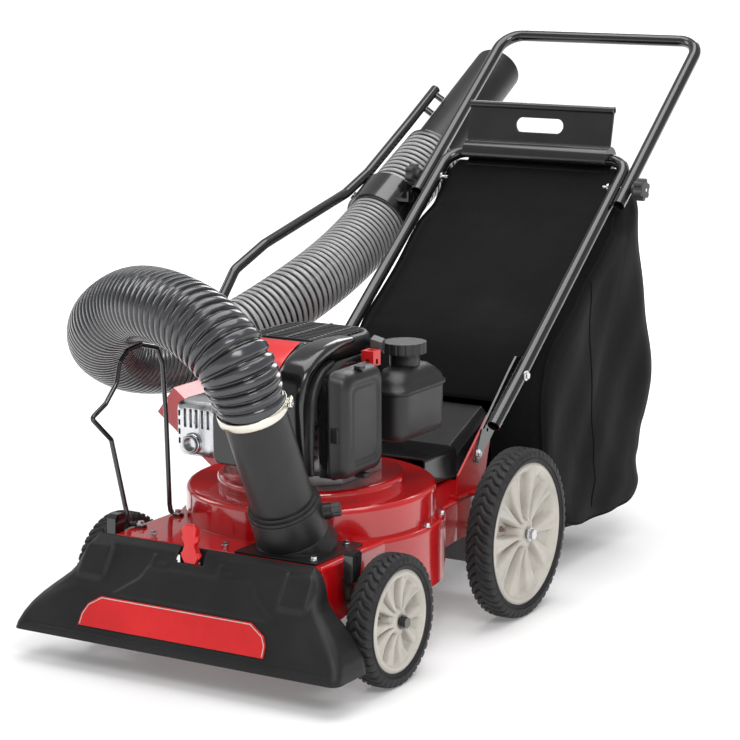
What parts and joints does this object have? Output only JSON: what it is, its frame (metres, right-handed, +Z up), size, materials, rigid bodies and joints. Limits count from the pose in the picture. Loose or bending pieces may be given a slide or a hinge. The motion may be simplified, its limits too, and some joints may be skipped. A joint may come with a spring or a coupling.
{
  "type": "leaf vacuum mulcher",
  "caption": "Walk-behind leaf vacuum and mulcher with a wide front nozzle, suction hose and wand, chipper chute, petrol engine, folding handle and hanging leaf bag.",
  "frame": {"origin": "on the ground, under the middle of the whole machine's footprint", "axes": "+Z up, +Y to the rear where the operator walks, +X to the operator's left; the nozzle faces -Y"},
  "size_m": [0.705, 1.5335, 0.899],
  "materials": {
    "deck_red": "gloss",
    "bracket_red": "gloss",
    "plastic_red": "satin",
    "nozzle_black": "matte",
    "plastic_black": "satin",
    "gloss_black": "gloss",
    "engine_grey": "satin",
    "tube_black": "gloss",
    "tyre": "matte",
    "rim": "satin",
    "hose": "gloss",
    "bag_fabric": "matte",
    "cast_alloy": "satin",
    "steel": "satin",
    "zinc": "gloss",
    "shield_grey": "matte",
    "knob_grey": "matte"
  },
  "bodies": {
    "root": {"air_filter_base": "gloss_black", "air_filter_cover": "engine_grey", "blower_housing": "gloss_black", "bolts_and_nuts": "zinc", "carburettor": "cast_alloy", "chipper_chute": "deck_red", "cylinder_head": "cast_alloy", "deck_shell": "deck_red", "discharge_chute": "gloss_black", "engine_block": "cast_alloy", "fuel_tank": "engine_grey", "handle_brackets": "bracket_red", "hose_adapter_tube": "plastic_black", "hose_clamp": "zinc", "hose_collar": "plastic_black", "hose_cradle": "tube_black", "hose_support_wire": "tube_black", "leg_plates": "tube_black", "lower_handle": "tube_black", "muffler": "steel", "muffler_guard": "zinc", "nozzle_badge": "plastic_red", "nozzle_shell": "nozzle_black", "oil_filler_tube": "plastic_black", "rear_axle": "steel", "rear_tie_rod": "bracket_red", "starter_cover": "engine_grey", "suction_hose": "hose", "wand_handle": "tube_black", "wand_tube": "plastic_black"},
    "rotor": {"crankshaft": "steel", "flywheel": "cast_alloy", "impeller": "steel", "shredder_blade": "steel", "impeller_bolt": "zinc"},
    "starter_pulley": {"starter_pulley": "engine_grey"},
    "recoil_grip": {"recoil_grip": "knob_grey"},
    "fuel_cap": {"fuel_cap": "engine_grey"},
    "dipstick": {"dipstick": "plastic_red"},
    "fuel_shutoff_lever": {"fuel_shutoff_lever": "plastic_red"},
    "collar_knob": {"collar_knob": "knob_grey"},
    "trailing_shield": {"trailing_shield": "shield_grey"},
    "chipper_flap": {"chipper_flap": "plastic_black"},
    "selector": {"selector_lever": "plastic_red", "diverter_flap": "steel"},
    "upper_handle": {"upper_handle": "tube_black"},
    "left_handle_knob": {"left_handle_knob": "knob_grey"},
    "right_handle_knob": {"right_handle_knob": "knob_grey"},
    "front_left_height_lever": {"front_left_height_lever": "tube_black"},
    "front_right_height_lever": {"front_right_height_lever": "tube_black"},
    "rear_left_wheel": {"rear_left_tyre": "tyre", "rear_left_rim": "rim"},
    "rear_right_wheel": {"rear_right_tyre": "tyre", "rear_right_rim": "rim"},
    "front_left_wheel": {"front_left_tyre": "tyre", "front_left_rim": "rim"},
    "front_right_wheel": {"front_right_tyre": "tyre", "front_right_rim": "rim"},
    "bag": {"bag_hanger": "gloss_black", "leaf_bag": "bag_fabric"}
  },
  "joints": [
    {"name": "rotor_spin", "type": "hinge", "parent": "root", "child": "rotor", "pos_m": [0.07326, -0.38943, 0.236], "axis": [0, 0, 1], "continuous": true},
    {"name": "recoil_grip_pull", "type": "slide", "parent": "root", "child": "recoil_grip", "axis": [0, 0.8, 0.6], "range_m": [0, 0.6]},
    {"name": "starter_pulley_spin", "type": "hinge", "parent": "root", "child": "starter_pulley", "pos_m": [0.07326, -0.38943, 0.476], "axis": [0, 0, 1], "range_deg": [0, 750]},
    {"name": "fuel_cap_turn", "type": "hinge", "parent": "root", "child": "fuel_cap", "pos_m": [0.19126, -0.29542, 0.46], "axis": [0, 0, 1], "range_deg": [0, 120]},
    {"name": "dipstick_pull", "type": "slide", "parent": "root", "child": "dipstick", "axis": [0, 0, 1], "range_m": [0, 0.15]},
    {"name": "fuel_shutoff_turn", "type": "hinge", "parent": "root", "child": "fuel_shutoff_lever", "pos_m": [0.22226, -0.24743, 0.338], "axis": [1, 0, 0], "range_deg": [0, 90]},
    {"name": "collar_knob_turn", "type": "hinge", "parent": "root", "child": "collar_knob", "pos_m": [0.22767, -0.57921, 0.26197], "axis": [0.8861, 0.4094, 0.2175], "range_deg": [0, 360]},
    {"name": "trailing_shield_swing", "type": "hinge", "parent": "root", "child": "trailing_shield", "pos_m": [0.07326, -0.10942, 0.156], "axis": [1, 0, 0], "range_deg": [0, 40]},
    {"name": "chipper_flap_swing", "type": "hinge", "parent": "root", "child": "chipper_flap", "pos_m": [-0.22084, -0.29942, 0.3417], "axis": [0, -1, 0], "range_deg": [0, 55]},
    {"name": "selector_turn", "type": "hinge", "parent": "root", "child": "selector", "pos_m": [0.04226, -0.64943, 0.176], "axis": [0, 1, 0], "range_deg": [-18, 18]},
    {"name": "upper_handle_fold", "type": "hinge", "parent": "root", "child": "upper_handle", "pos_m": [0.07326, 0.33658, 0.6485], "axis": [1, 0, 0], "range_deg": [0, 165]},
    {"name": "left_knob_turn", "type": "hinge", "parent": "root", "child": "left_handle_knob", "pos_m": [0.30127, 0.33658, 0.6485], "axis": [1, 0, 0], "range_deg": [0, 720]},
    {"name": "right_knob_turn", "type": "hinge", "parent": "root", "child": "right_handle_knob", "pos_m": [-0.15474, 0.33658, 0.6485], "axis": [1, 0, 0], "range_deg": [0, 720]},
    {"name": "front_left_height", "type": "hinge", "parent": "root", "child": "front_left_height_lever", "pos_m": [0.27326, -0.49443, 0.14], "axis": [1, 0, 0], "range_deg": [0, 18]},
    {"name": "front_right_height", "type": "hinge", "parent": "root", "child": "front_right_height_lever", "pos_m": [-0.12673, -0.49443, 0.14], "axis": [1, 0, 0], "range_deg": [0, 18]},
    {"name": "rear_left_wheel_spin", "type": "hinge", "parent": "root", "child": "rear_left_wheel", "pos_m": [0.31727, -0.14943, 0.14], "axis": [1, 0, 0], "continuous": true},
    {"name": "rear_right_wheel_spin", "type": "hinge", "parent": "root", "child": "rear_right_wheel", "pos_m": [-0.17073, -0.14943, 0.14], "axis": [1, 0, 0], "continuous": true},
    {"name": "front_left_wheel_spin", "type": "hinge", "parent": "front_left_height_lever", "child": "front_left_wheel", "pos_m": [0.32227, -0.56393, 0.1016], "axis": [1, 0, 0], "continuous": true},
    {"name": "front_right_wheel_spin", "type": "hinge", "parent": "front_right_height_lever", "child": "front_right_wheel", "pos_m": [-0.17574, -0.56393, 0.1016], "axis": [1, 0, 0], "continuous": true},
    {"name": "bag_lift_off", "type": "slide", "parent": "root", "child": "bag", "axis": [0, 0.7922, 0.6102], "range_m": [0, 0.15]}
  ],
  "couplings": [
    {"joint": "starter_pulley_spin", "follows": "recoil_grip_pull", "rad_per_m": 21.5}
  ]
}
